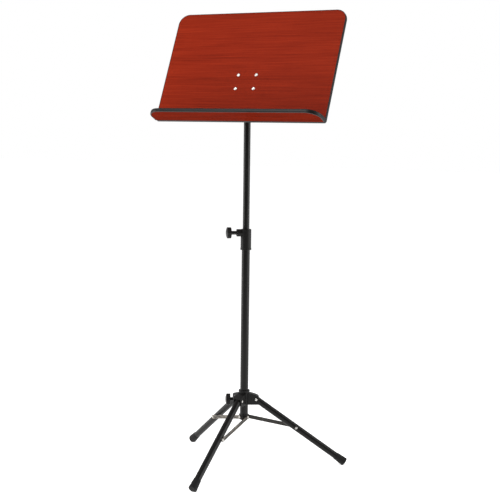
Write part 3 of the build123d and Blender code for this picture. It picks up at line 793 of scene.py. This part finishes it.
# The shelf lies across the desk's foot: its outline runs out of the face, its thickness up.
shelf_corners = [
    corner((half - SHELF_CORNER, SHELF_DEPTH - SHELF_CORNER), SHELF_CORNER, start=0, steps=28),
    corner((SHELF_CORNER - half, SHELF_DEPTH - SHELF_CORNER), SHELF_CORNER, start=90, steps=28)]
right, left = Vector((1, 0)), Vector((-1, 0))
shelf_outline = ([(Vector((half, 0)), right)]
                 + [place for arc in shelf_corners for place in arc]
                 + [(Vector((-half, 0)), left)])
shelf_turn = Matrix((Vector((1, 0, 0)), desk_out, -desk_axis)).transposed().to_4x4()
shelf_turn.translation = desk_foot + desk_axis * LIP
fit(moulding("shelf_edge_moulding", shelf_outline, False, shelf_turn,
             edge_plastic("edge_plastic_shelf", shelf_turn), SHELF_LIP_REACH),
    "desk", "edge_moulding", "shelf_edge_trim")


# ---------------------------------------------------------------------------------------------
# Desk rivets. Four nickel-plated rivets with domed heads on the veneer, which hold the bracket
# behind the desk and are spread over it there.

RIVET_HEAD_RADIUS = 4.7 * MM
RIVET_HEAD_HEIGHT = 1.9 * MM
HEAD_SHARE = Vector((1, 1, 1))
TAIL_SHARE = Vector((0.8, 0.8, 0.75))      # a spread tail's size against a head's


def middles(node):
    """The middle of each separate solid of a CAD node."""
    copy = bmesh.new()
    copy.from_mesh(frame["nodes"][node].data)
    bmesh.ops.remove_doubles(copy, verts=copy.verts, dist=TINY)
    left = set(copy.verts)
    found = []
    while left:
        seed = left.pop()
        group, edge = [seed], [seed]
        while edge:
            vertex = edge.pop()
            for link in vertex.link_edges:
                other = link.other_vert(vertex)
                if other in left:
                    left.remove(other)
                    group.append(other)
                    edge.append(other)
        low = Vector(min(vertex.co[i] for vertex in group) for i in range(3))
        high = Vector(max(vertex.co[i] for vertex in group) for i in range(3))
        found.append((low + high) / 2)
    copy.free()
    return found


def on_plane(point, axis, height):
    """A point moved along an axis to a given height on it."""
    return point + axis * (height - point.dot(axis))


veneer_height = span("desk_board", desk_out)[1]
tail_height = span("desk_rivets", desk_out)[0] + RIVET_HEAD_HEIGHT * TAIL_SHARE.z
rivet_seats = []
for middle in middles("desk_rivets"):
    rivet_seats.append((on_plane(middle, desk_out, veneer_height), desk_out, HEAD_SHARE))
    rivet_seats.append((on_plane(middle, desk_out, tail_height), -desk_out, TAIL_SHARE))
fit(grown("desk_rivet_heads", seats("desk_rivet_heads", rivet_seats), round_heads,
          Radius=RIVET_HEAD_RADIUS, Height=RIVET_HEAD_HEIGHT, Finish=nickel),
    "desk", "bright_steel", "desk_rivets")


# ---------------------------------------------------------------------------------------------
# Shelf screws. Four countersunk wood screws with cross recesses, driven through the desk into
# the shelf's back edge. Their heads lie flush in the desk's back.

SCREW_HEAD_RADIUS = 3.6 * MM
SCREW_SHANK_RADIUS = 1.8 * MM
SCREW_HEAD_DEPTH = 2.4 * MM
RECESS_WIDTH = 0.9 * MM
RECESS_SPAN = 1.25             # length of the recess against the head's radius
RECESS_SINK = 0.6              # its depth against the head's
SCREW_CREASE = 30


def cross_heads_tree():
    """Countersunk heads with a cross recess, one on each point, along the point's axis."""
    tree, given = start_tree("cross_heads", {"Radius": "NodeSocketFloat",
                                             "Shank Radius": "NodeSocketFloat",
                                             "Depth": "NodeSocketFloat",
                                             "Recess Width": "NodeSocketFloat"})
    depth = given["Depth"]
    cone = depth.node("GeometryNodeMeshCone", None,
                      {"Vertices": 40, "Radius Top": given["Radius"],
                       "Radius Bottom": given["Shank Radius"], "Depth": depth})
    sink = depth.node("ShaderNodeCombineXYZ", None, {"Z": depth * -1})
    cone = cone.node("GeometryNodeTransform", None, {"Geometry": cone, "Translation": sink})
    reach = given["Radius"] * RECESS_SPAN
    tall = depth * (2 * RECESS_SINK)       # centred on the face, so that half of it cuts
    long_side = reach.node("ShaderNodeCombineXYZ", None,
                           {"X": reach, "Y": given["Recess Width"], "Z": tall})
    wide_side = reach.node("ShaderNodeCombineXYZ", None,
                           {"X": given["Recess Width"], "Y": reach, "Z": tall})
    bars = [reach.node("GeometryNodeMeshCube", None, {"Size": side})
            for side in (long_side, wide_side)]
    head = cone.node("GeometryNodeMeshBoolean", {"operation": "DIFFERENCE"},
                     {"Mesh 1": cone, "Mesh 2": bars[0]})
    head = head.node("GeometryNodeMeshBoolean", {"operation": "DIFFERENCE"},
                     {"Mesh 1": head, "Mesh 2": bars[1]})
    axis = head.node("GeometryNodeInputNamedAttribute", {"data_type": "FLOAT_VECTOR"},
                     {"Name": "axis"})
    turn = axis.node("FunctionNodeAlignRotationToVector", {"axis": "Z"}, {"Vector": axis})
    heads = head.node("GeometryNodeInstanceOnPoints", None,
                      {"Points": given["Geometry"], "Instance": head, "Rotation": turn})
    return end_tree(tree, heads, given["Finish"])


screw_back = span("shelf_screws", desk_out)[0]
screw_seats = [(on_plane(middle, desk_out, screw_back), -desk_out, HEAD_SHARE)
               for middle in middles("shelf_screws")]
screws = grown("shelf_screw_heads", seats("shelf_screw_heads", screw_seats),
               cross_heads_tree(), **{"Radius": SCREW_HEAD_RADIUS,
                                      "Shank Radius": SCREW_SHANK_RADIUS,
                                      "Depth": SCREW_HEAD_DEPTH,
                                      "Recess Width": RECESS_WIDTH, "Finish": nickel})
screws.data.set_sharp_from_angle(angle=radians(SCREW_CREASE))
fit(screws, "desk", "bright_steel", "shelf_screws")


# ---------------------------------------------------------------------------------------------
# Studio. A plain pale floor under soft, even light, and a camera a little below the shelf's
# height, in front and to the right of the stand. The room is darker on the viewer's side.

FLOOR_REACH = 20               # metres to each side and back
FLOOR_FRONT = -2.6
ROOM_GLOW = 0.5                # brightness of the room round the stand
DARK_SIDE = 0.44               # and how much of it is missing on the viewer's side
SENSOR_WIDTH = 36              # millimetres, as is the focal length
FOCAL_LENGTH = 84.76
AZIMUTH, PITCH, ROLL = radians(27.21), radians(6.13), radians(0.69)
CAMERA_PLACE = Vector((1.44322, -2.78246, 0.92710))

floor_mesh = bpy.data.meshes.new("studio_floor")
floor_mesh.from_pydata([(-FLOOR_REACH, FLOOR_FRONT, 0), (FLOOR_REACH, FLOOR_FRONT, 0),
                        (FLOOR_REACH, FLOOR_REACH, 0), (-FLOOR_REACH, FLOOR_REACH, 0)],
                       [], [(0, 1, 2, 3)])
floor = bpy.data.objects.new("studio_floor", floor_mesh)
bpy.context.scene.collection.objects.link(floor)
pale, shader, at = start_finish("pale_floor")
set_finish(shader, Base_Color=mottle(at, 3.0).blend(shade(0.80, 0.80, 0.80),
                                                     shade(0.83, 0.83, 0.83)),
           Roughness=0.8, Specular_IOR_Level=0.1,
           Emission_Color=shade(1, 1, 1), Emission_Strength=0.72)
floor_mesh.materials.append(pale)
floor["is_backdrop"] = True

world = bpy.data.worlds.new("soft_white")
bpy.context.scene.world = world
world.use_nodes = True
backdrop = world.node_tree.nodes["Background"]
backdrop.inputs["Color"].default_value = shade(1, 1, 1)
toward_viewer = Vector((0.455, -0.884, 0.107))
seen = Socket(world.node_tree).node("ShaderNodeLightPath", out="Is Camera Ray")
facing = seen.node("ShaderNodeTexCoord", out="Generated")
facing = facing.node("ShaderNodeVectorMath", {"operation": "DOT_PRODUCT"},
                     {0: facing, 1: toward_viewer}, "Value")
glow = ROOM_GLOW - DARK_SIDE * facing.step(0.45, 0.85)
world.node_tree.links.new((seen + (1 - seen) * glow).output, backdrop.inputs["Strength"])
bpy.context.scene.view_settings.view_transform = "Standard"


def softbox(name, position, target, width, height, power):
    """A soft rectangular light aimed at a point."""
    light = bpy.data.lights.new(name, "AREA")
    light.shape = "RECTANGLE"
    light.size, light.size_y = width, height
    light.energy = power
    lamp = bpy.data.objects.new(name, light)
    bpy.context.scene.collection.objects.link(lamp)
    lamp.location = position
    aim = Vector(target) - Vector(position)
    lamp.rotation_euler = aim.to_track_quat("-Z", "Y").to_euler()


softbox("left_softbox", position=(-2.3, -1.2, 1.0), target=(0, 0, 0.7),
        width=1.3, height=2.2, power=34)
softbox("right_softbox", position=(2.3, 0.7, 1.1), target=(0, 0, 0.7),
        width=1.3, height=2.2, power=28)
softbox("top_softbox", position=(-0.5, -1.8, 2.8), target=(0, 0, 0.8),
        width=1.8, height=1.2, power=36)

ahead = Vector((-sin(AZIMUTH) * cos(PITCH), cos(AZIMUTH) * cos(PITCH), -sin(PITCH)))
across = Vector((cos(AZIMUTH), sin(AZIMUTH), 0))
above = across.cross(ahead)
camera_data = bpy.data.cameras.new("camera")
camera_data.lens = FOCAL_LENGTH
camera_data.sensor_width = SENSOR_WIDTH
camera = bpy.data.objects.new("camera", camera_data)
bpy.context.scene.collection.objects.link(camera)
stance = Matrix((across * cos(ROLL) + above * sin(ROLL), above * cos(ROLL) - across * sin(ROLL),
                 -ahead)).transposed().to_4x4()
stance.translation = CAMERA_PLACE
camera.matrix_world = stance
bpy.context.scene.camera = camera

low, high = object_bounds()
